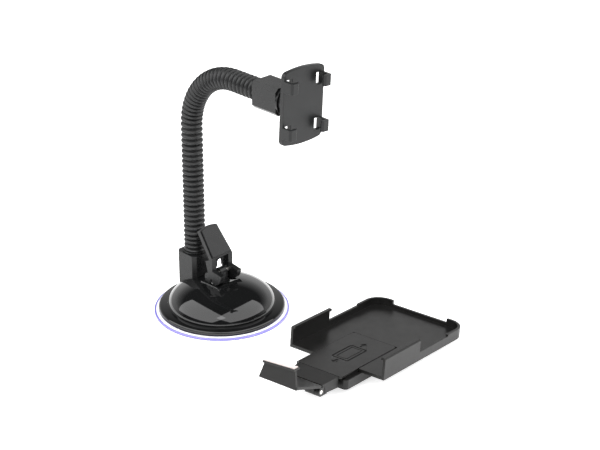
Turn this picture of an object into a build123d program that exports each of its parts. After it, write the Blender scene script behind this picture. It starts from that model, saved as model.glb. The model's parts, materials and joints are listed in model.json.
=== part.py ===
from build123d import *
import os
from math import atan2, cos, degrees, radians, sin, tan

# Windscreen mount for a small in-car device: a suction foot with a cam lever, a bendable
# neck with a four-claw head plate, and the clip-on device cradle that lies beside it.
# Millimetres. Origin: centre of the suction face, on the surface it grips. +Z points away
# from that surface, +X is the way the neck reaches, and the lever pin lies along Y.

# ---- clearances ----
RUNNING = 0.05          # radial, a shaft in its bearing
FREE = 0.3              # gap between bodies that pass each other
SEAT = 0.05             # gap of a piece pushed into its own body

# ---- suction foot ----
sheet_radius = 42.7
sheet_thickness = 1.5
sheet_bead = 0.5
flange_radius = 40.0
flange_height = 3.2
dome_radius = 34.0
dome_height = 15.6
chamber_radius = 13.0
chamber_roof = 5.0
seat_length = 17.0
seat_width = 20.0
seat_height = 20.4
seat_flat = 7.0
seat_ramp_end = 19.0
seat_ramp_height = 13.5

# ---- pull stem and lever ----
pivot_height = 26.4
stem_radius = 5.0
stem_foot_radius = 11.0
stem_foot_height = 1.6
eye_width = 5.2
eye_radius = 3.1
pin_radius = 1.5
pin_cover = 1.0
spring_wire = 1.0
spring_radius = 8.0
spring_coils = 3
lever_width = 17.2
leg_thickness = 3.4
leg_depth = 5.0
leg_height = 11.1
web_thickness = 1.4
web_front = -1.2
web_slot_width = 4.2
web_slot_top = 8.4
cheek_foot = 0.5
pad_length = 21.5
pad_lean = 39.0
pad_taper = 1.3
pad_thickness = 2.6
pad_bulge = 1.2
cover_thickness = 1.1
cover_inset = 0.9
cam_lift_per_radian = 2.25
cam_travel = 89.0
back_lobe_radius = 3.3
back_lobe_offset = 2.6
cam_slot = 1.0
cam_samples = 6

# ---- sockets that hold the neck ----
socket_side = 17.0
socket_chamfer = 2.2
socket_offset = 24.4
lower_socket_top = 33.0
collar_radius = 7.7
collar_height = 1.2
neck_seat_depth = 12.0
upper_socket_length = 19.7
set_screw_radius = 1.6
set_screw_recess = 0.4
hex_key = 1.5

# ---- bendable neck ----
sleeve_radius = 6.9
sleeve_bore = 5.05
core_radius = 4.75
core_collar = 1.2
ball_radius = 3.4
rod_radius = 2.2
cup_depth = 4.3
cup_lip = 0.4
neck_rise = 85.6
neck_bend_radius = 39.9
neck_bend_angle = 90.0
neck_reach = 23.9
lower_joint_angle = 15.0
arc_joint_angle = 18.0
lower_joint_count = 4
arc_joint_count = 5
first_joint = 12.0
last_joint_from_end = 13.5

# ---- head ----
rim_radius = 9.0
rim_thickness = 1.5
spigot_radius = 4.5
spigot_length = 6.4
boss_radius = 8.0
boss_length = 9.6
boss_flare = 0.6
clip_radius = 5.6
clip_thickness = 1.0
plate_width = 32.0
plate_height = 46.3
plate_thickness = 2.8
plate_bulge = 1.8
plate_corner = 3.0
plate_roll = -3.3
plate_lift = 0.8
claw_spacing = 27.7
claw_height = 6.6
claw_standoff = 4.5
claw_hook = 4.0
claw_wall = 2.0
claw_hook_thickness = 2.0
claw_chamfer = 1.1
window_margin = 0.4

# ---- cradle ----
cradle_x = 111.9
cradle_y = -10.9
cradle_z = 10.1
cradle_turn = 9.0
cradle_tilt = 6.08
cradle_width = 67.8
cradle_length = 91.5
cradle_floor = 2.0
cradle_wall = 1.7
cradle_corner = 11.0
rim_height = 5.6
rim_corner_height = 6.6
rim_low_height = 3.9
rim_low_width = 40.0
grip_length = 37.8
grip_height = 13.9
grip_lip = 3.0
grip_lip_thickness = 1.5
housing_width = 37.2
housing_front = -15.5
housing_back = 38.0
housing_depth = 6.0
housing_bottom = 1.2
housing_corner = 2.5
rail_top = 0.5
slot_length = 7.6
slot_width = 6.8
slider_width = 31.6
slider_top = 2.2
slider_thickness = 1.4
slider_back = 40.5
slider_crease = -17.8
crease_groove = 0.5
crease_depth = 0.3
tongue_width = 17.0
tongue_back = 34.0
tongue_drop = 4.2
nose_front = -32.0
nose_width = 28.4
nose_front_width = 26.0
nose_depth = 4.8
nose_fall = 0.8
hinge_ahead = 0.6
hinge_z = -2.9
knuckle_radius = 2.8
ear_thickness = 3.0
foot_pin_radius = 1.25
foot_length = 24.4
foot_rise = 17.0
foot_width = 26.4
foot_thickness = 1.6
foot_gap = 0.9
lip_low = 10.9
lip_high = 12.3
lip_lean = 8.0
lip_top_width = 20.6
lip_thickness = 1.6
lip_flange = 4.8
lip_flange_width = 22.5
lip_flange_thickness = 1.2
lip_flange_overhang = 1.6
foot_pad_thickness = 0.5
foot_pad_inset = 0.6
torsion_radius = 2.2
picto_length = 21.0
picto_width = 12.0
picto_line = 0.9
picto_inner_line = 0.5
picto_inset = 2.2
picto_corner = 1.4
picto_depth = 0.45
picto_middle = 13.5
arrow_size = 3.0
arrow_offset = 4.4
cradle_screw_radius = 1.9
cradle_screw_height = 1.1
cradle_screw_bite = 1.2
cradle_screw_setback = 6.0

os.makedirs("parts", exist_ok=True)


def export(name, shape):
    """Write one node as its own STEP file."""
    export_step(shape, f"parts/{name}.step")


def block(x, y, z):
    """Box between two corners, each axis given as a (low, high) pair."""
    size = [high - low for low, high in (x, y, z)]
    middle = [(high + low) / 2 for low, high in (x, y, z)]
    return Pos(*middle) * Box(*size)


def rod(start, end, radius):
    """Solid round bar between two points."""
    start = Vector(*start)
    end = Vector(*end)
    plane = Plane(origin=start, z_dir=(end - start).normalized())
    return plane * Cylinder(radius, (end - start).length, align=(Align.CENTER, Align.CENTER, Align.MIN))


def closed_face(*lines):
    """Flat face bounded by lines and curves that meet end to end."""
    return make_face([edge for line in lines for edge in line.edges()])


def side_profile(points, y_low, y_high):
    """Prism whose outline is drawn in X and Z, between two Y values."""
    face = make_face(Polyline(*[(x, 0, z) for x, z in points], close=True))
    prism = extrude(face, amount=y_high - y_low, dir=(0, 1, 0))
    return Pos(0, y_low, 0) * prism


# ---------------------------------------------------------------- suction foot
flange_base = sheet_thickness
flange_top = flange_base + flange_height
dome_top = flange_top + dome_height
stem_bore = stem_radius + RUNNING


def make_suction_sheet():
    """Soft clear disc with a thin rolled edge; its flat underside grips the glass."""
    disc = Cylinder(sheet_radius, sheet_thickness, align=(Align.CENTER, Align.CENTER, Align.MIN))
    edge = disc.edges().filter_by(GeomType.CIRCLE).group_by(Axis.Z)[-1]
    return fillet(edge, sheet_bead)


def dome_skin():
    """Quarter-ellipse dome turned about the vertical axis."""
    cap = Sphere(dome_radius, arc_size1=0, arc_size2=90, align=(Align.CENTER, Align.CENTER, Align.MIN))
    cap = scale(cap, by=(1, 1, dome_height / dome_radius))
    return Pos(0, 0, flange_top) * cap


def cam_seat():
    """Flat seat that the cams press on, with a ramp down towards the front."""
    outline = [
        (-seat_length / 2, flange_top),
        (-seat_length / 2, seat_height),
        (seat_flat, seat_height),
        (seat_ramp_end, seat_ramp_height),
        (seat_ramp_end, flange_top),
    ]
    return side_profile(outline, -seat_width / 2, seat_width / 2)


def make_base_dome():
    """Hard foot: flange ring, dome, cam seat, spring chamber and stem bore."""
    flange = Pos(0, 0, flange_base) * Cylinder(
        flange_radius, flange_height, align=(Align.CENTER, Align.CENTER, Align.MIN)
    )
    flange = chamfer(flange.edges().group_by(Axis.Z)[-1], flange_height * 0.6, flange_height * 0.5)
    above_seat = block((-dome_radius, dome_radius), (-dome_radius, dome_radius), (seat_height, dome_top + 1))
    body = flange + dome_skin() + cam_seat() - above_seat
    chamber_top = seat_height - chamber_roof
    chamber = Pos(0, 0, flange_base) * Cylinder(
        chamber_radius, chamber_top - flange_base, align=(Align.CENTER, Align.CENTER, Align.MIN)
    )
    bore = Cylinder(stem_bore, seat_height + 1, align=(Align.CENTER, Align.CENTER, Align.MIN))
    return body - chamber - bore


def chamfered_square(side, corner, length):
    """Square bar along Z with its four long edges chamfered, standing on z = 0."""
    bar = Box(side, side, length, align=(Align.CENTER, Align.CENTER, Align.MIN))
    return chamfer(bar.edges().filter_by(Axis.Z), corner)


def make_lower_socket():
    """Square post on the foot that the neck is pushed into, cut to sit on the dome."""
    post = Pos(-socket_offset, 0, flange_base) * chamfered_square(
        socket_side, socket_chamfer, lower_socket_top - flange_base
    )
    bore = Pos(-socket_offset, 0, lower_socket_top - neck_seat_depth) * Cylinder(
        core_radius + SEAT, neck_seat_depth + 1, align=(Align.CENTER, Align.CENTER, Align.MIN)
    )
    screw_height = lower_socket_top - neck_seat_depth / 2
    screw_hole = rod(
        (-socket_offset - socket_side, 0, screw_height), (-socket_offset, 0, screw_height), set_screw_radius + SEAT
    )
    inside_foot = Cylinder(flange_radius, flange_top, align=(Align.CENTER, Align.CENTER, Align.MIN))
    post = post - inside_foot - dome_skin() - cam_seat() - bore - screw_hole
    return post.solids().sort_by(SortBy.VOLUME)[-1]


set_screw_length = socket_side / 2 - set_screw_recess - core_radius - SEAT


def set_screw():
    """Headless screw along +X, its hex recess in the end at x = 0."""
    body = rod((0, 0, 0), (set_screw_length, 0, 0), set_screw_radius)
    recess = Plane.YZ * extrude(RegularPolygon(hex_key / 2, 6), amount=set_screw_length / 2)
    return body - recess


def make_collar():
    """Thin ring round the neck where it enters the lower socket."""
    ring = Cylinder(collar_radius, collar_height, align=(Align.CENTER, Align.CENTER, Align.MIN))
    hole = Cylinder(sleeve_radius + SEAT, collar_height * 3)
    return Pos(-socket_offset, 0, lower_socket_top) * (ring - hole)


# ---------------------------------------------------------------- pull stem and lever
lever_half = lever_width / 2
leg_inner = lever_half - leg_thickness
cam_reach = pivot_height - seat_height - FREE


def make_pull_stem():
    """Stem that pulls the middle of the sheet up; the lever pin goes through its eye."""
    foot_base = flange_base + FREE
    foot = Pos(0, 0, foot_base) * Cylinder(
        stem_foot_radius, stem_foot_height, align=(Align.CENTER, Align.CENTER, Align.MIN)
    )
    shaft_top = seat_height + FREE
    shaft = rod((0, 0, foot_base), (0, 0, shaft_top), stem_radius)
    half = eye_width / 2
    neck = block((-eye_radius, eye_radius), (-half, half), (shaft_top - stem_foot_height, pivot_height))
    eye = rod((0, -half, pivot_height), (0, half, pivot_height), eye_radius)
    hole = rod((0, -eye_width, pivot_height), (0, eye_width, pivot_height), pin_radius + RUNNING)
    return foot + shaft + neck + eye - hole


def make_stem_spring():
    """Return spring round the stem, between its foot and the chamber roof."""
    low = flange_base + FREE + stem_foot_height + spring_wire
    high = seat_height - chamber_roof - spring_wire
    path = Helix(pitch=(high - low) / spring_coils, height=high - low, radius=spring_radius)
    section = Plane(origin=path @ 0, z_dir=path % 0) * Circle(spring_wire / 2)
    return Pos(0, 0, low) * sweep(section, path=path, is_frenet=True)


def make_lever_pin():
    """Plain steel pivot pin; both ends sit in blind holes of the legs."""
    half = lever_half - pin_cover
    return rod((0, -half, pivot_height), (0, half, pivot_height), pin_radius)


def cam_curve():
    """Points of the cam face: its reach grows in step with the turn, like an involute."""
    points = []
    for step in range(cam_samples + 1):
        turn = radians(cam_travel) * step / cam_samples
        reach = cam_reach + cam_lift_per_radian * turn
        x = reach * sin(turn) + cam_lift_per_radian * cos(turn)
        z = -reach * cos(turn) + cam_lift_per_radian * sin(turn)
        points.append((x, 0, pivot_height + z))
    return points


def lever_leg():
    """Side plate of the lever: cam at the foot, straight leg, leaning pad edge."""
    curve = cam_curve()
    start = curve[0]
    end = curve[-1]
    base_z = pivot_height + leg_height
    front = leg_depth / 4
    corner = (front, 0, base_z)
    heel = (-leg_depth, 0, base_z - pad_thickness)
    lobe_centre = (-back_lobe_offset, 0, pivot_height - cam_reach + back_lobe_radius)
    leg_face = closed_face(
        Spline(*curve),
        Polyline(end, (front, 0, pivot_height + eye_radius), corner),
        Polyline(corner, heel, (-leg_depth * 0.6, 0, pivot_height + 1), lobe_centre, start),
    )
    leg = extrude(leg_face, amount=leg_thickness, dir=(0, 1, 0))
    lobe_end = (lobe_centre[0], leg_thickness, lobe_centre[2])
    leg = leg + rod(lobe_centre, lobe_end, back_lobe_radius)
    slot = block(
        (-cam_slot / 2, cam_slot / 2),
        (0, leg_thickness),
        (pivot_height - cam_reach - 1, pivot_height - pin_radius - cam_slot),
    )
    return leg - slot


def pad_plane():
    """Plane of the pad's front face: origin at its lower edge, Y up the slope."""
    lean = radians(pad_lean)
    return Plane(
        origin=(leg_depth / 4, 0, pivot_height + leg_height),
        x_dir=(0, 1, 0),
        z_dir=(cos(lean), 0, sin(lean)),
    )


def pad_outline(inset):
    """Pad seen from the front: sides that close in slightly and an arched top edge."""
    half = lever_half - inset
    top_half = half - pad_taper
    top = pad_length - inset
    return closed_face(
        Polyline((-top_half, top - pad_bulge), (-half, inset), (half, inset), (top_half, top - pad_bulge)),
        ThreePointArc((top_half, top - pad_bulge), (0, top), (-top_half, top - pad_bulge)),
    )


def lever_web():
    """Thin wall between the legs, with a round-topped window and a cheek each side of the stem's eye."""
    low = pivot_height + eye_radius + 2 * FREE
    high = pivot_height + leg_height - pad_thickness / 2
    wall = block((web_front - web_thickness, web_front), (-leg_inner, leg_inner), (low, high))
    slot_half = web_slot_width / 2
    crown = pivot_height + web_slot_top - slot_half
    slot = block((-leg_depth, leg_depth), (-slot_half, slot_half), (low - 1, crown))
    web = wall - slot - rod((-leg_depth, 0, crown), (leg_depth, 0, crown), slot_half)
    eye_side = eye_width / 2 + FREE
    foot = pivot_height + pin_radius + cheek_foot
    for side in (-1, 1):
        y_low, y_high = sorted((side * eye_side, side * leg_inner))
        web = web + block((web_front - web_thickness, web_front), (y_low, y_high), (foot, low))
    return web


def make_lever():
    """Cam lever: two legs with cams, the web between them and the pad plate on top."""
    leg = lever_leg()
    legs = Pos(0, leg_inner, 0) * leg + Pos(0, -lever_half, 0) * leg
    pad = pad_plane() * extrude(pad_outline(0), amount=-pad_thickness)
    hole_half = lever_half - pin_cover + SEAT
    hole = rod((0, -hole_half, pivot_height), (0, hole_half, pivot_height), pin_radius + SEAT)
    return legs + lever_web() + pad - hole


def make_lever_cover():
    """Thin finger plate let on to the pad's front, a little smaller all round."""
    return pad_plane() * extrude(pad_outline(cover_inset), amount=cover_thickness)


# ---------------------------------------------------------------- bendable neck
bend_radians = radians(neck_bend_angle)
bend_length = neck_bend_radius * bend_radians
neck_length = neck_rise + bend_length + neck_reach
bend_centre_x = -socket_offset + neck_bend_radius
bend_start_z = lower_socket_top + neck_rise


def neck_angle(along):
    """How far the neck's centre line has turned towards +X, in radians."""
    return min(max(along - neck_rise, 0.0), bend_length) / neck_bend_radius


def neck_point(along):
    """Point of the centre line at a distance along the neck."""
    if along <= neck_rise:
        return Vector(-socket_offset, 0, lower_socket_top + along)
    angle = neck_angle(along)
    after = max(along - neck_rise - bend_length, 0.0)
    x = bend_centre_x - neck_bend_radius * cos(angle) + after * sin(angle)
    z = bend_start_z + neck_bend_radius * sin(angle) + after * cos(angle)
    return Vector(x, 0, z)


def neck_direction(along):
    """Unit tangent of the centre line."""
    angle = neck_angle(along)
    return Vector(sin(angle), 0, cos(angle))


def neck_path(start, end):
    """Centre line between two distances, from straight runs and one arc."""
    corners = [start]
    corners += [mark for mark in (neck_rise, neck_rise + bend_length) if start < mark < end]
    corners.append(end)
    edges = []
    for low, high in zip(corners, corners[1:]):
        middle = (low + high) / 2
        if neck_rise <= low and high <= neck_rise + bend_length:
            edges.append(ThreePointArc(neck_point(low), neck_point(middle), neck_point(high)))
        else:
            edges.append(Line(neck_point(low), neck_point(high)))
    return Wire(edges)


def neck_tube(start, end, radius):
    """Solid round bar that follows the centre line."""
    section = Plane(origin=neck_point(start), z_dir=neck_direction(start)) * Circle(radius)
    return sweep(section, path=neck_path(start, end))


def joint_places():
    """Distance along the neck and bend allowance in degrees of each link joint."""
    last_lower = neck_rise - first_joint
    pitch = (last_lower - first_joint) / (lower_joint_count - 1)
    places = [(first_joint + pitch * index, lower_joint_angle) for index in range(lower_joint_count)]
    arc_pitch = bend_length / arc_joint_count
    for index in range(arc_joint_count):
        places.append((neck_rise + arc_pitch * (index + 0.5), arc_joint_angle))
    places.append((neck_length - last_joint_from_end, lower_joint_angle))
    return places


def sleeve_gap(angle):
    """Half of the gap two sleeve ends need to bend by an angle without touching."""
    return sleeve_radius * tan(radians(angle) / 2) + FREE


def make_sleeve(start, end):
    """One length of the soft outer tube."""
    return neck_tube(start, end, sleeve_radius) - neck_tube(start, end, sleeve_bore)


def make_core(start, end, first, last):
    """One metal link: a ball at its start and a cup at its end, or a plain end."""
    direction = neck_direction(end)
    tip = neck_point(end)
    if first:
        body = neck_tube(start, end - cup_depth, core_radius)
    else:
        body = Pos(*neck_point(start)) * Sphere(ball_radius)
        body = body + rod(neck_point(start), tip - direction * (cup_depth if not last else neck_seat_depth), rod_radius)
    if last:
        return body + rod(tip - direction * neck_seat_depth, tip, core_radius)
    collar = neck_tube(end - cup_depth - core_collar, end - cup_depth, sleeve_bore - SEAT)
    cup = rod(tip - direction * cup_depth, tip + direction * cup_lip, core_radius)
    cavity = Pos(*tip) * Sphere(ball_radius + RUNNING)
    return body + collar + cup - cavity


def make_neck():
    """Every sleeve and core link, numbered from the foot to the head."""
    places = joint_places()
    starts = [(0.0, 0.0)] + places
    ends = places + [(neck_length, 0.0)]
    pieces = {}
    for index, ((start, start_bend), (end, end_bend)) in enumerate(zip(starts, ends)):
        first = index == 0
        last = index == len(places)
        sleeve_start = start + (0.0 if first else sleeve_gap(start_bend))
        sleeve_end = end - (0.0 if last else sleeve_gap(end_bend))
        pieces[f"neck_sleeve_{index}"] = make_sleeve(sleeve_start, sleeve_end)
        core_start = -neck_seat_depth if first else start
        core_end = neck_length + neck_seat_depth if last else end
        pieces[f"neck_core_{index}"] = make_core(core_start, core_end, first, last)
    return pieces


# ---------------------------------------------------------------- head
head_x = neck_point(neck_length).X
head_z = neck_point(neck_length).Z
socket_front = head_x + upper_socket_length
rim_front = socket_front + rim_thickness
boss_back = rim_front + FREE
plate_back = boss_back + boss_length


def along_x(start, end, radius):
    """Round bar on the head's axis."""
    return rod((start, 0, head_z), (end, 0, head_z), radius)


def make_upper_socket():
    """Square block at the neck's end, with the spigot that the claw plate turns on."""
    bar = chamfered_square(socket_side, socket_chamfer, upper_socket_length)
    bar = Plane(origin=(head_x, 0, head_z), x_dir=(0, 1, 0), z_dir=(1, 0, 0)) * bar
    rim = along_x(socket_front, rim_front, rim_radius)
    spigot = along_x(rim_front, rim_front + spigot_length, spigot_radius)
    bore = along_x(head_x - 1, head_x + neck_seat_depth + SEAT, core_radius + SEAT)
    screw_x = head_x + neck_seat_depth / 2
    screw_hole = rod((screw_x, 0, head_z), (screw_x, 0, head_z - socket_side), set_screw_radius + SEAT)
    return bar + rim + spigot - bore - screw_hole


def make_swivel_clip():
    """Retaining washer on the spigot's end, held inside the boss."""
    start = rim_front + spigot_length
    return along_x(start, start + clip_thickness, clip_radius)


def plate_outline():
    """Claw plate seen from the front: straight sides, arched top and bottom."""
    half = plate_width / 2
    side = plate_height / 2 - plate_bulge
    face = closed_face(
        Line((half, -side), (half, side)),
        ThreePointArc((half, side), (0, side + plate_bulge), (-half, side)),
        Line((-half, side), (-half, -side)),
        ThreePointArc((-half, -side), (0, -side - plate_bulge), (half, -side)),
    )
    return fillet(face.vertices(), plate_corner)


def claw(side):
    """One claw at the plate's edge: a stem with a hook that points inwards."""
    outer = plate_width / 2
    inner = outer - claw_wall
    tip = inner - claw_hook
    reach = claw_standoff + claw_hook_thickness
    outline = [
        (outer, -plate_thickness),
        (outer, reach - claw_chamfer),
        (outer - claw_chamfer, reach),
        (tip + claw_chamfer, reach),
        (tip, reach - claw_chamfer),
        (tip, claw_standoff),
        (inner, claw_standoff),
        (inner, -plate_thickness),
    ]
    face = make_face(Polyline(*[(side * y, 0, x) for y, x in outline], close=True))
    return Pos(0, claw_height / 2, 0) * extrude(face, amount=claw_height, dir=(0, -1, 0))


def make_claw_plate():
    """Adapter plate with four claws, a moulding window under each hook, and its boss."""
    plate = extrude(plate_outline(), amount=-plate_thickness)
    claws = []
    for side in (-1, 1):
        for row in (-1, 1):
            place = Pos(0, row * claw_spacing / 2, 0)
            inner = plate_width / 2 - claw_wall
            window = block(
                (inner - claw_hook - window_margin, inner),
                (-claw_height / 2 - window_margin, claw_height / 2 + window_margin),
                (-plate_thickness - 1, 1),
            )
            if side < 0:
                window = mirror(window, about=Plane.YZ)
            plate = plate - place * window
            claws.append(place * claw(side))
    for piece in claws:
        plate = plate + piece
    front = Plane(
        origin=(plate_back + plate_thickness, 0, head_z), x_dir=(0, 1, 0), z_dir=(1, 0, 0)
    )
    plate = front * Rot(0, 0, plate_roll) * Pos(0, plate_lift, 0) * plate
    boss = Plane(origin=(plate_back, 0, head_z), x_dir=(0, 1, 0), z_dir=(-1, 0, 0)) * Cone(
        boss_radius + boss_flare, boss_radius, boss_length, align=(Align.CENTER, Align.CENTER, Align.MIN)
    )
    bore = along_x(boss_back - 1, rim_front + spigot_length, spigot_radius + RUNNING)
    cavity = along_x(rim_front + spigot_length - FREE, plate_back, clip_radius + FREE)
    return plate + boss - bore - cavity


# ---------------------------------------------------------------- cradle
hinge_y = nose_front - hinge_ahead
half_width = cradle_width / 2
inner_half = half_width - cradle_wall
channel_half = tongue_width / 2 + FREE
slider_half = slider_width / 2
slider_under = slider_top - slider_thickness


def cradle_frame():
    """Cradle axes: X across it, Y away from the foot, Z out of the device bay."""
    turn = radians(cradle_turn)
    tilt = radians(cradle_tilt)
    along = Vector(-sin(turn) * cos(tilt), cos(turn) * cos(tilt), -sin(tilt))
    across = Vector(cos(turn), sin(turn), 0)
    return Plane(origin=(cradle_x, cradle_y, cradle_z), x_dir=across, z_dir=across.cross(along))


def rounded_far_corners(low_x, high_x, far, height, radius):
    """Floor-shaped slab from y = 0 to the far edge, its two far corners rounded."""
    slab = block((low_x, high_x), (0, far), (0, height))
    corners = slab.edges().filter_by(Axis.Z).group_by(Axis.Y)[-1]
    return fillet(corners, radius)


def cradle_screw_place(side):
    """Place across and along the cradle of one housing screw."""
    return side * (housing_width / 2 + cradle_screw_radius + 1), housing_back - cradle_screw_setback


def make_cradle_back():
    """Tray: floor, stepped rim, two side grips with inward lips, slider opening."""
    outer = rounded_far_corners(-half_width, half_width, cradle_length, rim_corner_height, cradle_corner)
    inner = rounded_far_corners(
        -inner_half, inner_half, cradle_length - cradle_wall, rim_corner_height, cradle_corner - cradle_wall
    )
    tray = outer - Pos(0, 0, cradle_floor) * inner
    far = cradle_length + 1
    tray = tray - block(
        (-rim_low_width / 2, rim_low_width / 2), (cradle_length / 2, far), (rim_low_height, grip_height)
    )
    side_end = cradle_length - 2 * cradle_corner
    tray = tray - block((-half_width - 1, half_width + 1), (-1, side_end), (rim_height, grip_height))
    for side in (-1, 1):
        wall = block((inner_half, half_width), (0, grip_length), (0, grip_height))
        lip = block(
            (half_width - grip_lip, half_width), (0, grip_length), (grip_height - grip_lip_thickness, grip_height)
        )
        grip = wall + lip
        grip = chamfer(grip.edges().filter_by(Axis.Y).group_by(Axis.Z)[-1].sort_by(Axis.X)[-1], cradle_wall / 2)
        if side < 0:
            grip = mirror(grip, about=Plane.YZ)
        tray = tray + grip
    opening = block(
        (-slider_half - FREE, slider_half + FREE), (-1, slider_back + 2 * FREE), (-1, cradle_floor + 1)
    )
    tray = tray - opening
    for side in (-1, 1):
        x, y = cradle_screw_place(side)
        tray = tray - rod((x, y, -1), (x, y, cradle_screw_bite + SEAT), cradle_screw_radius / 2 + SEAT)
    return tray


def make_rear_housing():
    """Channel under the floor that guides the slider, with four sockets for the claws."""
    half = housing_width / 2
    body = block((-half, half), (housing_front, housing_back), (-housing_depth, 0))
    front = body.edges().filter_by(Axis.Z).group_by(Axis.Y)[0]
    body = fillet(front, housing_corner)
    tab_half = half + 2 * cradle_screw_radius + 2
    tab_reach = cradle_screw_radius + 1
    screw_y = cradle_screw_place(1)[1]
    tab = block((-tab_half, tab_half), (screw_y - tab_reach, screw_y + tab_reach), (-cradle_floor, 0))
    body = body + tab
    rail = block(
        (-slider_half, slider_half), (housing_front + housing_corner, housing_back - 1), (-rail_top, rail_top)
    )
    body = body + rail
    channel = block(
        (-channel_half, channel_half),
        (housing_front - 1, tongue_back + 2),
        (-housing_depth + housing_bottom, rail_top + 1),
    )
    body = body - channel
    middle = (housing_back + 0.5) / 2
    for side in (-1, 1):
        for row in (-1, 1):
            outer = plate_width / 2 + window_margin
            x_pair = sorted((side * (outer - slot_width), side * outer))
            y = middle + row * claw_spacing / 2
            socket = block(
                tuple(x_pair), (y - slot_length / 2, y + slot_length / 2), (-housing_depth - 1, rail_top + 1)
            )
            body = body - socket
    for side in (-1, 1):
        x, y = cradle_screw_place(side)
        body = body - rod((x, y, -cradle_floor - 1), (x, y, 1), cradle_screw_radius / 2 + SEAT)
    return body


def make_cradle_screw(side):
    """Pan-head screw that holds the housing's tab to the floor."""
    x, y = cradle_screw_place(side)
    head = rod((x, y, -cradle_floor - cradle_screw_height), (x, y, -cradle_floor), cradle_screw_radius)
    shank = rod((x, y, -cradle_floor), (x, y, cradle_screw_bite), cradle_screw_radius / 2)
    slot = Pos(x, y, -cradle_floor - cradle_screw_height) * Box(2 * cradle_screw_radius, 0.6, 0.8)
    return head + shank - slot


def arrow(direction):
    """Arrow engraving: a head and a short shaft, pointing along Y."""
    head = Polyline(
        (0, direction * arrow_size), (arrow_size * 0.8, 0), (-arrow_size * 0.8, 0), close=True
    )
    shaft = Rectangle(arrow_size * 0.6, arrow_size)
    return make_face(head) + Pos(0, -direction * arrow_size / 2, 0) * shaft


def rounded_frame(inset, line):
    """Outline of a rounded rectangle, a distance in from the edge of the device outline."""
    width = picto_width - 2 * inset
    length = picto_length - 2 * inset
    hole = Rectangle(width - 2 * line, length - 2 * line)
    return RectangleRounded(width, length, picto_corner / (1 + inset)) - hole


def engraving():
    """Device outline, its screen outline and an arrow at each end, as a shallow cutter."""
    frames = rounded_frame(0, picto_line) + rounded_frame(picto_inset, picto_inner_line)
    marks = Pos(0, picto_middle) * frames
    reach = picto_length / 2 + arrow_offset
    marks = marks + Pos(0, picto_middle + reach) * arrow(1) + Pos(0, picto_middle - reach) * arrow(-1)
    return Pos(0, 0, slider_top - picto_depth) * extrude(marks, amount=picto_depth + 1)


nose_top = slider_top - nose_fall


def nose_slope():
    """Wedge taken off the nose so that its top falls towards the foot."""
    face = make_face(
        Polyline(
            (0, slider_crease, slider_top),
            (0, nose_front, nose_top),
            (0, nose_front, slider_top + 1),
            (0, slider_crease, slider_top + 1),
            close=True,
        )
    )
    return Pos(-slider_half, 0, 0) * extrude(face, amount=slider_width, dir=(1, 0, 0))


def make_slider():
    """Sliding plate with its guide tongue, tapered nose and two hinge ears."""
    plate = block((-slider_half, slider_half), (slider_crease, slider_back), (slider_under, slider_top))
    plate = chamfer(plate.edges().filter_by(Axis.Z), slider_thickness)
    tongue = block(
        (-tongue_width / 2, tongue_width / 2), (slider_crease - 1, tongue_back), (-tongue_drop, slider_under)
    )
    half = nose_width / 2
    front_half = nose_front_width / 2
    nose_face = make_face(
        Polyline(
            (-half, slider_crease),
            (half, slider_crease),
            (front_half, nose_front),
            (-front_half, nose_front),
            close=True,
        )
    )
    nose = Pos(0, 0, -nose_depth) * extrude(nose_face, amount=nose_depth + slider_top)
    nose = nose - nose_slope()
    ear_back = hinge_y + knuckle_radius + ear_thickness
    clear = knuckle_radius + 2 * FREE
    nose = nose - rod((-slider_width, hinge_y, hinge_z), (slider_width, hinge_y, hinge_z), clear)
    nose = nose - block((-slider_width, slider_width), (nose_front - 1, hinge_y + clear), (-nose_depth - 1, hinge_z))
    for side in (-1, 1):
        x_low, x_high = sorted((side * (front_half - ear_thickness), side * front_half))
        knuckle = rod((x_low, hinge_y, hinge_z), (x_high, hinge_y, hinge_z), knuckle_radius)
        web = block((x_low, x_high), (hinge_y, ear_back), (hinge_z - knuckle_radius, hinge_z + knuckle_radius))
        nose = nose + knuckle + web
    crease = block(
        (-slider_half, slider_half),
        (slider_crease, slider_crease + crease_groove),
        (slider_top - crease_depth, slider_top + 1),
    )
    body = plate + tongue + nose - engraving() - crease
    hole = rod((-slider_width, hinge_y, hinge_z), (slider_width, hinge_y, hinge_z), foot_pin_radius + SEAT)
    return body - hole


def make_foot_pin():
    """Steel pin through both ears; the foot turns on it."""
    half = nose_front_width / 2
    return rod((-half, hinge_y, hinge_z), (half, hinge_y, hinge_z), foot_pin_radius)


foot_half = nose_front_width / 2 - ear_thickness - FREE
spring_half = foot_half / 3


def foot_plane():
    """Foot axes: X across, Y from the lip back to the hinge, Z out of the floor."""
    rise = radians(foot_rise)
    return Plane(
        origin=(0, nose_front - foot_gap, nose_top), x_dir=(1, 0, 0), z_dir=(0, sin(rise), cos(rise))
    )


def lip_plane():
    """Plane of the lip's inner face: origin at the end of the floor, Y up the lip."""
    end = foot_plane().from_local_coords(Vector(0, -foot_length, -foot_thickness))
    lean = radians(lip_lean)
    return Plane(origin=(0, end.Y, end.Z), x_dir=(1, 0, 0), z_dir=(0, -cos(lean), sin(lean)))


def flange_plane():
    """Plane of the flange's top: origin at the middle of its outer edge, X across, Y inwards."""
    middle = lip_plane().from_local_coords(Vector(0, (lip_low + lip_high) / 2, lip_thickness))
    turn = atan2(lip_high - lip_low, lip_top_width)
    across = (cos(turn), 0, sin(turn))
    up = (-sin(turn), 0, cos(turn))
    return Plane(origin=(0, middle.Y - lip_flange_overhang, middle.Z), x_dir=across, z_dir=up)


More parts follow.
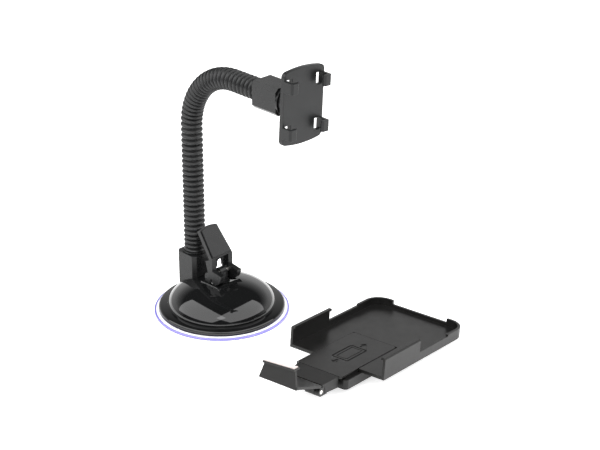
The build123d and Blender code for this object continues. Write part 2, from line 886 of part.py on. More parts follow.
def foot_lip():
    """Lip at the end of the foot, lower on the far side, with a flange along its top."""
    half = foot_width / 2
    top_half = lip_top_width / 2
    face = make_face(Polyline((-half, 0), (half, 0), (top_half, lip_high), (-top_half, lip_low), close=True))
    lip = lip_plane() * extrude(face, amount=lip_thickness)
    flange = block((-lip_flange_width / 2, lip_flange_width / 2), (0, lip_flange), (-lip_flange_thickness, 0))
    return lip + flange_plane() * flange


def make_foot_pad():
    """Thin pale strip stuck along the top of the lip's flange."""
    half = lip_flange_width / 2 - foot_pad_inset
    strip = block((-half, half), (foot_pad_inset, lip_flange - foot_pad_inset), (0, foot_pad_thickness))
    return flange_plane() * strip


def make_foot():
    """Hinged foot: sloping floor plate, lip and two knuckles."""
    half = foot_width / 2
    floor = block((-half, half), (-foot_length - foot_thickness / 2, 0), (-foot_thickness, 0))
    body = foot_plane() * floor + foot_lip()
    reach = nose_top - foot_thickness * 0.5
    for side in (-1, 1):
        x_low, x_high = sorted((side * spring_half, side * foot_half))
        knuckle = rod((x_low, hinge_y, hinge_z), (x_high, hinge_y, hinge_z), knuckle_radius)
        link = block(
            (x_low, x_high), (hinge_y - knuckle_radius, nose_front - foot_gap), (hinge_z, reach)
        )
        body = body + knuckle + link
    hole = rod((-slider_width, hinge_y, hinge_z), (slider_width, hinge_y, hinge_z), foot_pin_radius + RUNNING)
    return body - hole


def make_foot_spring():
    """Torsion spring round the pin between the foot's knuckles, drawn as its outer shape."""
    half = spring_half - FREE
    tube = rod((-half, hinge_y, hinge_z), (half, hinge_y, hinge_z), torsion_radius)
    return tube - rod((-half - 1, hinge_y, hinge_z), (half + 1, hinge_y, hinge_z), foot_pin_radius + RUNNING)


# ---------------------------------------------------------------- write every piece
export("suction_sheet", make_suction_sheet())
export("base_dome", make_base_dome())
export("lower_socket", make_lower_socket())
export("lower_collar", make_collar())
lower_screw_x = -socket_offset - socket_side / 2 + set_screw_recess
export("lower_set_screw", Pos(lower_screw_x, 0, lower_socket_top - neck_seat_depth / 2) * set_screw())
export("pull_stem", make_pull_stem())
export("stem_spring", make_stem_spring())
export("lever", make_lever())
export("lever_cover", make_lever_cover())
export("lever_pin", make_lever_pin())
for name, piece in make_neck().items():
    export(name, piece)
export("upper_socket", make_upper_socket())
upper_screw = Rot(0, -90, 0) * set_screw()
upper_screw_z = head_z - socket_side / 2 + set_screw_recess
export("upper_set_screw", Pos(head_x + neck_seat_depth / 2, 0, upper_screw_z) * upper_screw)
export("swivel_clip", make_swivel_clip())
export("claw_plate", make_claw_plate())
cradle = cradle_frame()
export("cradle_back", cradle * make_cradle_back())
export("rear_housing", cradle * make_rear_housing())
export("housing_screw_left", cradle * make_cradle_screw(-1))
export("housing_screw_right", cradle * make_cradle_screw(1))
export("slider", cradle * make_slider())
export("foot_pin", cradle * make_foot_pin())
export("foot", cradle * make_foot())
export("foot_pad", cradle * make_foot_pad())
export("foot_spring", cradle * make_foot_spring())
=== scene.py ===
"""Windscreen mount: suction foot with cam lever, ribbed neck, claw plate, and device cradle."""
import json
from math import cos, pi, radians, sin, sqrt

import bmesh
import bpy
from mathutils import Matrix, Vector


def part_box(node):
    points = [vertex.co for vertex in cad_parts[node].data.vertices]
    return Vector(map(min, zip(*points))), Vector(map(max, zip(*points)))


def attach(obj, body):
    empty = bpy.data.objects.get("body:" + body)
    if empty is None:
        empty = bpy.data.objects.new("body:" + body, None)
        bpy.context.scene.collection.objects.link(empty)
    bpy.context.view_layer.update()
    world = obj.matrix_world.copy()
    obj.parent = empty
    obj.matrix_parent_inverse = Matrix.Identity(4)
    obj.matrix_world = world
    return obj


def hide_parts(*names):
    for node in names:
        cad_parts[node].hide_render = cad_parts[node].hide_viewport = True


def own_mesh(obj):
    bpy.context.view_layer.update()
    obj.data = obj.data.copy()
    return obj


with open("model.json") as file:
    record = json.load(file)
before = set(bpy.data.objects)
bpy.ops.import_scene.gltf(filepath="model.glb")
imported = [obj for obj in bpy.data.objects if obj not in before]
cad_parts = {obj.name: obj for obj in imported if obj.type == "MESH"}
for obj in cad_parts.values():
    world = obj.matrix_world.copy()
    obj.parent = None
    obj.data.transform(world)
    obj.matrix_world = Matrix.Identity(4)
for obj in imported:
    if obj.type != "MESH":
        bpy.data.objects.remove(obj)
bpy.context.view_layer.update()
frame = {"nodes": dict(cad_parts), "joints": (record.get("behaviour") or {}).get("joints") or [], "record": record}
MM = 0.001


# ---------------------------------------------------------------- shader expressions
class Signal:
    """One output of a shader node; arithmetic on it adds Math nodes."""

    def __init__(self, recipe, socket):
        self.recipe = recipe
        self.socket = socket

    def math(self, operation, first, second=0.0):
        return self.recipe.add("ShaderNodeMath", {"operation": operation}, first, second)

    def __add__(self, other):
        return self.math("ADD", self, other)

    def __radd__(self, other):
        return self.math("ADD", other, self)

    def __sub__(self, other):
        return self.math("SUBTRACT", self, other)

    def __rsub__(self, other):
        return self.math("SUBTRACT", other, self)

    def __mul__(self, other):
        return self.math("MULTIPLY", self, other)

    def __rmul__(self, other):
        return self.math("MULTIPLY", other, self)

    def step(self, low, high):
        """0 below low, 1 above high, straight in between."""
        return self.recipe.add(
            "ShaderNodeMapRange", {"clamp": True}, self, low, high, 0.0, 1.0
        )


class Recipe:
    """One material, built node by node."""

    def __init__(self, name):
        self.material = bpy.data.materials.new(name)
        self.material.use_nodes = True
        self.tree = self.material.node_tree
        self.tree.nodes.clear()

    def feed(self, socket, value):
        if isinstance(value, Signal):
            self.tree.links.new(value.socket, socket)
        else:
            socket.default_value = value

    def add(self, kind, settings=None, *inputs, out=0, **named):
        """A node: its settings first, then its sockets in order or by name."""
        node = self.tree.nodes.new(kind)
        for key, value in (settings or {}).items():
            setattr(node, key, value)
        for index, value in enumerate(inputs):
            self.feed(node.inputs[index], value)
        for key, value in named.items():
            self.feed(node.inputs[key.replace("_", " ")], value)
        return Signal(self, node.outputs[out])

    def place(self):
        return self.add("ShaderNodeTexCoord", out="Object")

    def noise(self, scale, detail=3.0, roughness=0.5):
        return self.add(
            "ShaderNodeTexNoise", None, Vector=self.place(), Scale=scale, Detail=detail, Roughness=roughness
        )

    def mix(self, amount, first, second):
        """Colour mix; the three sockets of an RGBA Mix node sit at 0, 6 and 7."""
        node = self.tree.nodes.new("ShaderNodeMix")
        node.data_type = "RGBA"
        self.feed(node.inputs[0], amount)
        self.feed(node.inputs[6], first)
        self.feed(node.inputs[7], second)
        return Signal(self, node.outputs[2])

    def edge(self, radius):
        """Mask of worn edges: where a rounded normal leaves the true one."""
        soft = self.add("ShaderNodeBevel", {"samples": 4}, radius)
        true = self.add("ShaderNodeNewGeometry", out="Normal")
        match = self.add("ShaderNodeVectorMath", {"operation": "DOT_PRODUCT"}, soft, true, out="Value")
        return (1.0 - match).step(0.02, 0.25)

    def surface(self, **sockets):
        shader = self.add("ShaderNodeBsdfPrincipled", None, **sockets)
        output = self.tree.nodes.new("ShaderNodeOutputMaterial")
        self.tree.links.new(shader.socket, output.inputs["Surface"])
        return self.material


def grey(value, tint=(1.0, 1.0, 1.0)):
    """A grey with a slight tint, as an RGBA colour."""
    return tuple(value * part for part in tint) + (1.0,)


# ---------------------------------------------------------------- finishes
COOL = (0.96, 1.0, 1.03)
WARM = (1.03, 1.0, 0.95)


def moulded_plastic(name, shade, tint, roughness, grain):
    """Satin moulded plastic: fine spark-eroded grain, faint flow mottling, rubbed edges."""
    recipe = Recipe(name)
    wear = 0.35
    mottle = recipe.noise(45.0, 3.0)
    fine = recipe.noise(2600.0, 2.0, 0.6)
    smudge = recipe.noise(160.0, 4.0, 0.65).step(0.35, 0.75)
    worn = recipe.edge(0.45 * MM) * recipe.noise(420.0, 3.0).step(0.3, 0.7)
    base = recipe.mix(mottle.step(0.3, 0.7), grey(shade * 0.86, tint), grey(shade * 1.12, tint))
    colour = recipe.mix(worn * wear, base, grey(shade * 2.2 + 0.015, tint))
    rough = roughness + (smudge - 0.5) * 0.07 + fine * 0.05 - worn * 0.08
    bump = recipe.add("ShaderNodeBump", None, Strength=0.25, Distance=grain, Height=fine)
    return recipe.surface(Base_Color=colour, Roughness=rough, Normal=bump, IOR=1.36)


def polished_black():
    """Glossy black dome: clear lacquer look, faint swirl marks, a little dust."""
    recipe = Recipe("polished black")
    swirl = recipe.noise(900.0, 4.0, 0.7)
    dust = recipe.noise(1500.0, 2.0).step(0.72, 0.8)
    haze = recipe.noise(60.0, 2.0)
    colour = recipe.mix(dust * 0.25, grey(0.006, COOL), grey(0.05, COOL))
    rough = 0.035 + swirl.step(0.45, 0.8) * 0.03 + haze * 0.02 + dust * 0.15
    bump = recipe.add("ShaderNodeBump", None, Strength=0.02, Distance=0.05 * MM, Height=haze)
    return recipe.surface(
        Base_Color=colour, Roughness=rough, Normal=bump, Coat_Weight=0.15, Coat_Roughness=0.02, IOR=1.48
    )


def ribbed_rubber():
    """Soft satin sleeve: grooves painted near black as painted shade and made rougher, slightly shiny crowns."""
    recipe = Recipe("neck sleeve")
    fine = recipe.noise(1800.0, 3.0, 0.6)
    cloud = recipe.noise(110.0, 3.0)
    groove = recipe.add("ShaderNodeAttribute", {"attribute_name": "groove"}, out="Fac")
    base = recipe.mix(cloud.step(0.3, 0.7), grey(0.010, COOL), grey(0.018, COOL))
    # painted shade: the groove mask mixes the colour down to near black in the grooves
    colour = recipe.mix(groove, base, grey(0.001, COOL))
    rough = 0.19 + cloud * 0.06 + groove * 0.5 + fine * 0.04
    bump = recipe.add("ShaderNodeBump", None, Strength=0.2, Distance=0.05 * MM, Height=fine)
    return recipe.surface(Base_Color=colour, Roughness=rough, Normal=bump, IOR=1.4)


def clear_sheet(rim_radius, tint_width):
    """Clear soft sheet; the tint shows where light runs out at its edge."""
    recipe = Recipe("clear sheet")
    place = recipe.place()
    flat = recipe.add("ShaderNodeVectorMath", {"operation": "MULTIPLY"}, place, (1.0, 1.0, 0.0))
    radius = recipe.add("ShaderNodeVectorMath", {"operation": "LENGTH"}, flat, out="Value")
    rim = radius.step(rim_radius - tint_width * 1.3, rim_radius - tint_width * 0.7)
    cloud = recipe.noise(70.0, 3.0)
    clear = recipe.mix(cloud, (0.93, 0.93, 0.96, 1.0), (0.98, 0.98, 1.0, 1.0))
    colour = recipe.mix(rim, clear, (0.16, 0.14, 0.55, 1.0))
    rough = 0.08 + cloud * 0.08 + rim * 0.12
    bump = recipe.add("ShaderNodeBump", None, Strength=0.1, Distance=0.1 * MM, Height=cloud)
    return recipe.surface(
        Base_Color=colour, Roughness=rough, Normal=bump, Transmission_Weight=0.45, IOR=1.38
    )


def turned_steel():
    """Bright turned pin or screw: fine rings, small stains."""
    recipe = Recipe("turned steel")
    rings = recipe.noise(3500.0, 2.0)
    stain = recipe.noise(300.0, 4.0).step(0.5, 0.8)
    colour = recipe.mix(stain * 0.5, grey(0.78, WARM), grey(0.42, WARM))
    rough = 0.2 + rings * 0.12 + stain * 0.2
    bump = recipe.add("ShaderNodeBump", None, Strength=0.1, Distance=0.02 * MM, Height=rings)
    return recipe.surface(Base_Color=colour, Roughness=rough, Normal=bump, Metallic=1.0)


def studio_floor():
    """Pale paper sweep, almost even."""
    recipe = Recipe("studio floor")
    cloud = recipe.noise(3.0, 2.0)
    colour = recipe.mix(cloud, grey(0.93), grey(0.96))
    return recipe.surface(
        Base_Color=colour, Roughness=0.75 + cloud * 0.1, Emission_Color=grey(1.0), Emission_Strength=0.7
    )


def foam_pad_highlight():
    """Thin foam pad, its pale pinkish colour a painted highlight: open pores, slightly soiled."""
    recipe = Recipe("pale foam")
    pores = recipe.noise(1900.0, 3.0, 0.6)
    soil = recipe.noise(260.0, 4.0, 0.65).step(0.5, 0.85)
    # painted highlight: the pale pinkish base stands in for the bright glint on the foot's top flange
    colour = recipe.mix(soil * 0.55, (0.74, 0.66, 0.64, 1.0), (0.40, 0.33, 0.32, 1.0))
    bump = recipe.add("ShaderNodeBump", None, Strength=0.4, Distance=0.05 * MM, Height=pores)
    return recipe.surface(Base_Color=colour, Roughness=0.7 + pores * 0.15, Normal=bump)


def engraved_shade_black():
    """Dull bottom of the engraved marks, painted darker than the slider as painted shade in the recess:
    spark-eroded grain, a little dust.
    """
    recipe = Recipe("engraved black")
    fine = recipe.noise(2200.0, 2.0, 0.6)
    dust = recipe.noise(700.0, 3.0).step(0.6, 0.8)
    # painted shade: the mark bottoms are nearly black, darker than the slider plastic around them
    colour = recipe.mix(dust * 0.3, grey(0.002), grey(0.012))
    bump = recipe.add("ShaderNodeBump", None, Strength=0.3, Distance=0.03 * MM, Height=fine)
    return recipe.surface(Base_Color=colour, Roughness=0.8 + fine * 0.1, Normal=bump, Specular_IOR_Level=0.1)


satin_black = moulded_plastic("satin black", 0.008, COOL, 0.27, 0.03 * MM)
cradle_black = moulded_plastic("cradle black", 0.007, WARM, 0.30, 0.03 * MM)
plate_black = moulded_plastic("plate black", 0.010, COOL, 0.32, 0.04 * MM)
mark_painted_shade = engraved_shade_black()
pad_painted_highlight = foam_pad_highlight()
gloss_black = polished_black()
sleeve_rubber = ribbed_rubber()
bright_steel = turned_steel()
sheet_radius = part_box("suction_sheet")[1][0]
clear_vinyl = clear_sheet(sheet_radius, 1.1 * MM)


# ---------------------------------------------------------------- making pieces
def new_object(name, mesh, material):
    """A finished piece at the origin, with its place in its mesh."""
    piece = bpy.data.objects.new(name, mesh)
    bpy.context.collection.objects.link(piece)
    mesh.materials.clear()
    mesh.materials.append(material)
    return piece


def smooth_by_angle(mesh, angle):
    """Smooth shading with edges sharper than the angle kept crisp."""
    mesh.polygons.foreach_set("use_smooth", [True] * len(mesh.polygons))
    mesh.set_sharp_from_angle(angle=radians(angle))


def dressed_copy(node, body, material, bevel, segments=2, angle=28.0):
    """A CAD node's shape with its sharp edges rounded; it stands for that node."""
    work = bmesh.new()
    work.from_mesh(frame["nodes"][node].data)
    bmesh.ops.remove_doubles(work, verts=work.verts, dist=0.002 * MM)
    bmesh.ops.dissolve_limit(
        work, angle_limit=radians(1.0), verts=work.verts, edges=work.edges, delimit={"NORMAL"}
    )
    sharp = [
        edge for edge in work.edges
        if len(edge.link_faces) == 2 and edge.calc_face_angle() > radians(angle)
    ]
    if bevel:
        bmesh.ops.bevel(
            work, geom=sharp, offset=bevel, offset_type="OFFSET", segments=segments,
            profile=0.5, affect="EDGES", clamp_overlap=True, harden_normals=False,
        )
    bmesh.ops.triangulate(work, faces=[face for face in work.faces if len(face.verts) > 4])
    mesh = bpy.data.meshes.new(node + "_body")
    work.to_mesh(mesh)
    work.free()
    smooth_by_angle(mesh, 32.0)
    piece = new_object(node + "_body", mesh, material)
    even = piece.modifiers.new("even flats", "WEIGHTED_NORMAL")
    even.mode = "FACE_AREA"
    even.keep_sharp = True
    flats = plain_mesh(piece)
    piece.modifiers.clear()
    piece.data = flats
    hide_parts(node)
    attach(piece, body)
    return piece


def paint(node, material):
    """A CAD node kept as it is, with a finished material."""
    target = frame["nodes"][node]
    target.data.materials.clear()
    target.data.materials.append(material)


def lathe(name, outline, material, turns=192):
    """Closed round piece about Z from an outline of (radius, height) points."""
    work = bmesh.new()
    verts = [work.verts.new((radius, 0.0, height)) for radius, height in outline]
    for low, high in zip(verts, verts[1:] + verts[:1]):
        work.edges.new((low, high))
    bmesh.ops.spin(
        work, geom=work.verts[:] + work.edges[:], cent=(0, 0, 0), axis=(0, 0, 1), angle=2 * pi, steps=turns,
        use_merge=True,
    )
    bmesh.ops.remove_doubles(work, verts=work.verts, dist=0.001 * MM)
    bmesh.ops.recalc_face_normals(work, faces=work.faces)
    mesh = bpy.data.meshes.new(name)
    work.to_mesh(mesh)
    work.free()
    smooth_by_angle(mesh, 30.0)
    return new_object(name, mesh, material)


def arc_points(centre, radius, start, end, count):
    """Points of an arc in the outline plane, angles in degrees."""
    points = []
    for index in range(count + 1):
        turn = radians(start + (end - start) * index / count)
        points.append((centre[0] + radius * cos(turn), centre[1] + radius * sin(turn)))
    return points


# ---------------------------------------------------------------- suction foot
STEM_BORE = 5.05 * MM


def foot_outline():
    """Section of the foot: bored middle, elliptical dome, shallow valley, flange with a round lip."""
    low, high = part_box("base_dome")
    flange_radius = high[0]
    base = low[2]
    middle_top = high[2] - 0.6 * MM
    dome_radius = 34.0 * MM
    dome_height = 15.6 * MM
    flange_top = base + 3.2 * MM
    crown_radius = 9.5 * MM
    outline = [(STEM_BORE, base), (STEM_BORE, middle_top), (crown_radius * 0.8, middle_top)]
    steps = 56
    for index in range(steps + 1):
        turn = (pi / 2) * index / steps
        radius = dome_radius * sin(turn)
        if radius > crown_radius * 0.9:
            dome_top = flange_top + dome_height * sqrt(1.0 - (radius / dome_radius) ** 2)
            outline.append((radius, min(dome_top, middle_top)))
    lip = 1.5 * MM
    outline.append((dome_radius + 0.5 * MM, flange_top - 0.1 * MM))
    outline += arc_points((flange_radius - lip, flange_top - lip), lip, 80, 0, 10)
    outline.append((flange_radius, base + 0.3 * MM))
    outline.append((flange_radius - 0.3 * MM, base))
    return outline


def stem_travel():
    """How far the stem rises."""
    return next(joint for joint in frame["joints"] if joint["name"] == "stem_lift")["range_m"][1]


def cam_seat():
    """Raised seat under the cams, with its long front ramp and room for the stem and spring."""
    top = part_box("base_dome")[1][2]
    back, flat_end, ramp_end = -8.5 * MM, 7.0 * MM, 19.0 * MM
    ramp_top, bottom = 13.5 * MM, 6.0 * MM
    half = 10.0 * MM
    section = [(back, bottom), (back, top), (flat_end, top), (ramp_end, ramp_top), (ramp_end, bottom)]
    work = bmesh.new()
    near = [work.verts.new((x, -half, z)) for x, z in section]
    far = [work.verts.new((x, half, z)) for x, z in section]
    work.faces.new(near)
    work.faces.new(far[::-1])
    for index in range(len(section)):
        after = (index + 1) % len(section)
        work.faces.new((near[after], near[index], far[index], far[after]))
    bmesh.ops.recalc_face_normals(work, faces=work.faces)
    bmesh.ops.bevel(
        work, geom=work.edges[:], offset=0.5 * MM, offset_type="OFFSET", segments=3, profile=0.5,
        affect="EDGES",
    )
    mesh = bpy.data.meshes.new("cam_seat")
    work.to_mesh(mesh)
    work.free()
    smooth_by_angle(mesh, 35.0)
    seat = new_object("cam_seat", mesh, gloss_black)
    above_all = 40.0 * MM
    seat = cut(seat, round_cutter(STEM_BORE, 0.0, above_all))
    stem_low, stem_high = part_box("pull_stem")
    spring_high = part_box("stem_spring")[1]
    room = 0.4 * MM
    foot_height = 1.6 * MM
    foot_top = stem_low[2] + foot_height + stem_travel() + room
    seat = cut(seat, round_cutter(stem_high[0] + room, 0.0, foot_top))
    return cut(seat, round_cutter(spring_high[0] + room, 0.0, spring_high[2] + room))


def round_cutter(radius, low, high):
    """Upright cylinder between two heights, to bore one hole."""
    work = bmesh.new()
    bmesh.ops.create_cone(
        work, cap_ends=True, segments=64, radius1=radius, radius2=radius, depth=high - low
    )
    bmesh.ops.translate(work, verts=work.verts, vec=(0, 0, (low + high) / 2))
    mesh = bpy.data.meshes.new("cutter")
    work.to_mesh(mesh)
    work.free()
    return new_object("cutter", mesh, satin_black)


def cut(piece, cutter):
    """The piece with the cutter taken away, as a plain mesh."""
    tool = piece.modifiers.new("cut", "BOOLEAN")
    tool.operation = "DIFFERENCE"
    tool.solver = "EXACT"
    tool.object = cutter
    result = plain_mesh(piece)
    piece.modifiers.clear()
    piece.data = result
    bpy.data.objects.remove(cutter)
    return piece


def plain_mesh(piece):
    """The evaluated shape of an object as a mesh with no modifiers."""
    bpy.context.view_layer.update()
    depsgraph = bpy.context.evaluated_depsgraph_get()
    return bpy.data.meshes.new_from_object(piece.evaluated_get(depsgraph))


def suction_foot():
    """Dome with its seat, and the clear sheet under it."""
    shell = lathe("foot_shell", foot_outline(), gloss_black)
    seat = cam_seat()
    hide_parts("base_dome")
    for piece in (shell, seat):
        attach(piece, "base")
    paint("suction_sheet", clear_vinyl)


# ---------------------------------------------------------------- ribbed neck
class NeckLine:
    """Centre line of the neck: up from the lower socket, round one bend, along to the head."""

    def __init__(self):
        post_low, post_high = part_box("lower_socket")
        head_low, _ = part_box("upper_socket")
        sleeve_low, sleeve_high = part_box("neck_sleeve_10")
        self.x = (post_low[0] + post_high[0]) / 2
        self.bottom = post_high[2]
        self.head_x = head_low[0]
        self.head_z = (sleeve_low[2] + sleeve_high[2]) / 2
        self.radius = (sleeve_high[2] - sleeve_low[2]) / 2
        self.bend = 39.9 * MM
        self.rise = self.head_z - self.bend - self.bottom
        self.arc = self.bend * pi / 2
        self.length = self.rise + self.arc + self.head_x - self.x - self.bend

    def at(self, along):
        """Point at a distance along the line."""
        angle = min(max(along - self.rise, 0.0), self.arc) / self.bend
        after = max(along - self.rise - self.arc, 0.0)
        x = self.x + self.bend * (1.0 - cos(angle)) + after
        z = self.bottom + min(along, self.rise) + self.bend * sin(angle)
        return Vector((x, 0.0, z))

    def along(self, point):
        """Distance along the line of the place nearest a point on it."""
        steps = 4000
        best = min(range(steps + 1), key=lambda index: (self.at(self.length * index / steps) - point).length)
        return self.length * best / steps


def sleeve_tree():
    """Geometry tree: ribbed tube round a centre line, its groove mask stored for the finish, which paints shade in
    the grooves.
    """
    tree = bpy.data.node_groups.new("ribbed sleeve", "GeometryNodeTree")
    face = tree.interface
    face.new_socket("Line", in_out="INPUT", socket_type="NodeSocketGeometry")
    for name in ("Radius", "Groove Depth", "Rib Pitch", "Step"):
        face.new_socket(name, in_out="INPUT", socket_type="NodeSocketFloat")
    face.new_socket("Finish", in_out="INPUT", socket_type="NodeSocketMaterial")
    face.new_socket("Sleeve", in_out="OUTPUT", socket_type="NodeSocketGeometry")

    def add(kind, settings=None, **links):
        node = tree.nodes.new(kind)
        for key, value in (settings or {}).items():
            setattr(node, key, value)
        for key, value in links.items():
            socket = node.inputs[int(key[1:])] if key[0] == "_" else node.inputs[key.replace("_", " ")]
            if isinstance(value, bpy.types.NodeSocket):
                tree.links.new(value, socket)
            else:
                socket.default_value = value
        return node

    def calc(operation, first, second=0.0):
        return add("ShaderNodeMath", {"operation": operation}, _0=first, _1=second).outputs[0]

    given = tree.nodes.new("NodeGroupInput").outputs
    line = add("GeometryNodeResampleCurve", {"mode": "LENGTH"}, Curve=given["Line"], Length=given["Step"])
    length = add("GeometryNodeSplineParameter").outputs["Length"]
    phase = calc("FRACT", calc("DIVIDE", length, given["Rib Pitch"]))
    off_crown = calc("ABSOLUTE", calc("SUBTRACT", calc("MULTIPLY", phase, 2.0), 1.0))
    dip = calc("POWER", off_crown, 1.8)
    # groove mask: the finish uses it for painted shade and roughness in the grooves
    stored = add(
        "GeometryNodeStoreNamedAttribute", {"data_type": "FLOAT", "domain": "POINT"},
        Geometry=line.outputs[0], Name="groove", Value=calc("POWER", off_crown, 2.0),
    )
    radius = calc("SUBTRACT", given["Radius"], calc("MULTIPLY", dip, given["Groove Depth"]))
    ring = add("GeometryNodeCurvePrimitiveCircle", {"mode": "RADIUS"}, Resolution=48, Radius=1.0)
    tube = add(
        "GeometryNodeCurveToMesh", None,
        Curve=stored.outputs[0], Profile_Curve=ring.outputs[0], Scale=radius, Fill_Caps=False,
    )
    soft = add("GeometryNodeSetShadeSmooth", None, Geometry=tube.outputs[0])
    real = add("GeometryNodeRealizeInstances", None, Geometry=soft.outputs[0])
    done = add("GeometryNodeSetMaterial", None, Geometry=real.outputs[0], Material=given["Finish"])
    result = tree.nodes.new("NodeGroupOutput")
    tree.links.new(done.outputs[0], result.inputs[0])
    return tree


def run_tree(source, tree, values, name):
    """Runs a geometry tree on an object and returns the result as a plain piece."""
    tool = source.modifiers.new(tree.name, "NODES")
    tool.node_group = tree
    keys = {item.name: item.identifier for item in tree.interface.items_tree if item.in_out == "INPUT"}
    for key, value in values.items():
        tool[keys[key]] = value
    mesh = plain_mesh(source)
    bpy.data.objects.remove(source)
    piece = bpy.data.objects.new(name, mesh)
    bpy.context.collection.objects.link(piece)
    return piece


def centre_curve(neck, start, end, step):
    """Curve object that follows the neck between two distances."""
    curve = bpy.data.curves.new("centre_line", "CURVE")
    curve.dimensions = "3D"
    count = max(int((end - start) / step), 4)
    spline = curve.splines.new("POLY")
    spline.points.add(count)
    for index in range(count + 1):
        point = neck.at(start + (end - start) * index / count)
        spline.points[index].co = (point.x, point.y, point.z, 1.0)
    line = bpy.data.objects.new("centre_line", curve)
    bpy.context.collection.objects.link(line)
    return line


def add_ball(mesh, centre, radius):
    """Adds the ball that closes a link's end, so that a bent joint shows no gap."""
    shape = bmesh.new()
    shape.from_mesh(mesh)
    made = bmesh.ops.create_uvsphere(
        shape, u_segments=48, v_segments=24, radius=radius, matrix=Matrix.Translation(centre)
    )
    # the ball is marked as full groove, so the finish paints it with the darkest groove shade
    groove = shape.verts.layers.float["groove"]
    for vert in made["verts"]:
        vert[groove] = 1.0
        for face in vert.link_faces:
            face.smooth = True
    shape.to_mesh(mesh)
    shape.free()


def ribbed_neck():
    """One ribbed piece for each link, with a groove at every joint and a ball inside it."""
    neck = NeckLine()
    tree = sleeve_tree()
    rib_pitch = 3.4 * MM
    depth = 1.8 * MM
    ball_play = 0.05 * MM
    line_step = 0.4 * MM
    steps_per_rib = 14
    joints = [joint for joint in frame["joints"] if joint["name"].startswith("neck_")]
    places = [neck.along(Vector(joint["pos_m"])) for joint in joints]
    marks = [0.0] + places + [neck.length]
    bodies = ["base"] + [joint["child"] for joint in joints]
    for index, (start, end) in enumerate(zip(marks, marks[1:])):
        line = centre_curve(neck, start, end, line_step)
        pitch = (end - start) / max(round((end - start) / rib_pitch), 1)
        values = {
            "Radius": neck.radius, "Groove Depth": depth, "Rib Pitch": pitch,
            "Step": pitch / steps_per_rib, "Finish": sleeve_rubber,
        }
        piece = run_tree(line, tree, values, f"neck_skin_{index}")
        if index < len(places):
            add_ball(piece.data, neck.at(end), neck.radius - depth - ball_play)
        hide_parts(f"neck_sleeve_{index}", f"neck_core_{index}")
        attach(piece, bodies[index])


# ---------------------------------------------------------------- everything else
def body_of_node(node):
    """Name of the body that a CAD node belongs to."""
    for body, nodes in frame["record"]["behaviour"]["bodies"].items():
        if node in nodes:
            return body
    raise ValueError(node)


def moulded_parts():
    """Moulded plastic parts: rounded edges and their own finish."""
    parts = {
        "lower_socket": (satin_black, 0.35),
        "lower_collar": (satin_black, 0.2),
        "upper_socket": (satin_black, 0.35),
        "claw_plate": (plate_black, 0.3),
        "lever": (satin_black, 0.3),
        "lever_cover": (satin_black, 0.3),
        "pull_stem": (satin_black, 0.3),
        "cradle_back": (cradle_black, 0.3),
        "rear_housing": (cradle_black, 0.25),
        "slider": (cradle_black, 0.12),
        "foot": (cradle_black, 0.3),
    }
    for node, (material, bevel) in parts.items():
        piece = dressed_copy(node, body_of_node(node), material, bevel * MM)
        if node == "slider":
            # engraved mark bottoms get the painted-shade finish
            shade_mark_bottoms(piece.data)


def shade_mark_bottoms(mesh):
    """Gives the bottoms of the engraved marks on the slider's top their own finish, painted darker as shade in the
    recess.
    """
    up = max(mesh.polygons, key=lambda face: face.area if face.normal.z > 0.9 else 0.0).normal.copy()
    top = max(vertex.co.dot(up) for face in mesh.polygons if face.normal.dot(up) > 0.9999
              for vertex in (mesh.vertices[index] for index in face.vertices))
    mesh.materials.append(mark_painted_shade)
    for face in mesh.polygons:
        drop = top - face.center.dot(up)
        if face.normal.dot(up) > 0.999 and 0.4 * MM < drop < 0.5 * MM:
            face.material_index = 1


def steel_parts():
    """Pins, screws, clip, springs and pad keep their CAD shape; the stem's spring gets a mesh of its own and its
    kept share of length is worked out, but it is not shortened.
    """
    for node in (
        "lever_pin", "foot_pin", "stem_spring", "foot_spring", "lower_set_screw", "upper_set_screw",
        "housing_screw_left", "housing_screw_right", "swivel_clip",
    ):
        paint(node, bright_steel)
    # the pad's pale pinkish colour is a painted highlight
    paint("foot_pad", pad_painted_highlight)
    spring_low, spring_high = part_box("stem_spring")
    kept = 1.0 - stem_travel() / (spring_high[2] - spring_low[2])
    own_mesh(frame["nodes"]["stem_spring"])
    for node in frame["nodes"]:
        if node.startswith("neck_core") or node.startswith("neck_sleeve"):
            paint(node, bright_steel if "core" in node else sleeve_rubber)


# ---------------------------------------------------------------- studio
def area_light(name, place, target, size, power):
    """Softbox that faces its target."""
    light = bpy.data.lights.new(name, "AREA")
    light.shape = "RECTANGLE"
    light.size = size[0]
    light.size_y = size[1]
    light.energy = power
    lamp = bpy.data.objects.new(name, light)
    lamp.location = place
    lamp.rotation_euler = (Vector(target) - Vector(place)).to_track_quat("-Z", "Y").to_euler()
    bpy.context.collection.objects.link(lamp)


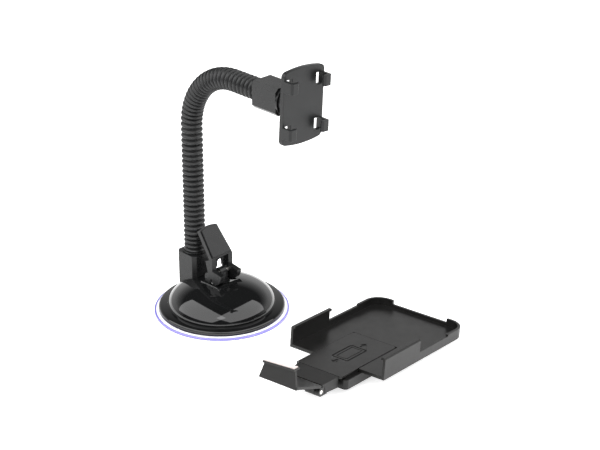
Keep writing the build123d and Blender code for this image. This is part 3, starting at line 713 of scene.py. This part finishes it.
def studio():
    """Pale floor, a sky that glows low on one side, and two softboxes."""
    work = bmesh.new()
    bmesh.ops.create_grid(work, x_segments=1, y_segments=1, size=6.0)
    mesh = bpy.data.meshes.new("floor")
    work.to_mesh(mesh)
    work.free()
    floor = new_object("floor", mesh, studio_floor())
    world = bpy.data.worlds.new("studio")
    world.use_nodes = True
    nodes = world.node_tree.nodes
    links = world.node_tree.links
    where = nodes.new("ShaderNodeTexCoord").outputs["Generated"]
    height = nodes.new("ShaderNodeSeparateXYZ")
    links.new(where, height.inputs[0])
    depth = nodes.new("ShaderNodeVectorMath")
    depth.operation = "DOT_PRODUCT"
    depth.inputs[1].default_value = (-0.71, 0.70, 0.0)
    links.new(where, depth.inputs[0])
    both = nodes.new("ShaderNodeMix")
    both.data_type = "RGBA"
    both.blend_type = "MULTIPLY"
    both.inputs[0].default_value = 1.0
    for signal, socket, (dark, light) in (
        (height.outputs["Z"], both.inputs[6], (0.60, 0.28)),
        (depth.outputs["Value"], both.inputs[7], (-0.15, 0.35)),
    ):
        ramp = nodes.new("ShaderNodeMapRange")
        ramp.inputs["From Min"].default_value = dark
        ramp.inputs["From Max"].default_value = light
        ramp.inputs["To Min"].default_value = 0.04
        links.new(signal, ramp.inputs["Value"])
        links.new(ramp.outputs[0], socket)
    links.new(both.outputs[2], nodes["Background"].inputs["Color"])
    nodes["Background"].inputs["Strength"].default_value = 1.0
    bpy.context.scene.world = world
    bpy.context.scene.view_settings.view_transform = "Standard"
    middle = (0.0, 0.0, 0.03)
    distance = 0.95
    for name, bearing, rise, size, power in (
        ("left softbox", -15.0, 47.0, (1.8, 1.0), 16.0),
        ("right softbox", 106.0, 47.0, (1.8, 1.0), 15.0),
    ):
        turn, tilt = radians(bearing), radians(rise)
        place = Vector((sin(turn) * cos(tilt), -cos(turn) * cos(tilt), sin(tilt))) * distance
        area_light(name, place + Vector(middle), middle, size, power)


def camera():
    """Long lens that looks down on the mount from its front corner."""
    lens = bpy.data.cameras.new("camera")
    lens.lens = 108.0
    lens.sensor_width = 36.0
    eye = bpy.data.objects.new("camera", lens)
    turn, rise, distance = radians(45.5), radians(25.5), 1.117
    target = Vector((34.7, 35.3, 58.6)) * MM
    back = Vector((sin(turn) * cos(rise), -cos(turn) * cos(rise), sin(rise)))
    eye.location = target + back * distance
    eye.rotation_euler = (-back).to_track_quat("-Z", "Y").to_euler()
    bpy.context.collection.objects.link(eye)
    bpy.context.scene.camera = eye


camera()
studio()
suction_foot()
ribbed_neck()
moulded_parts()
steel_parts()
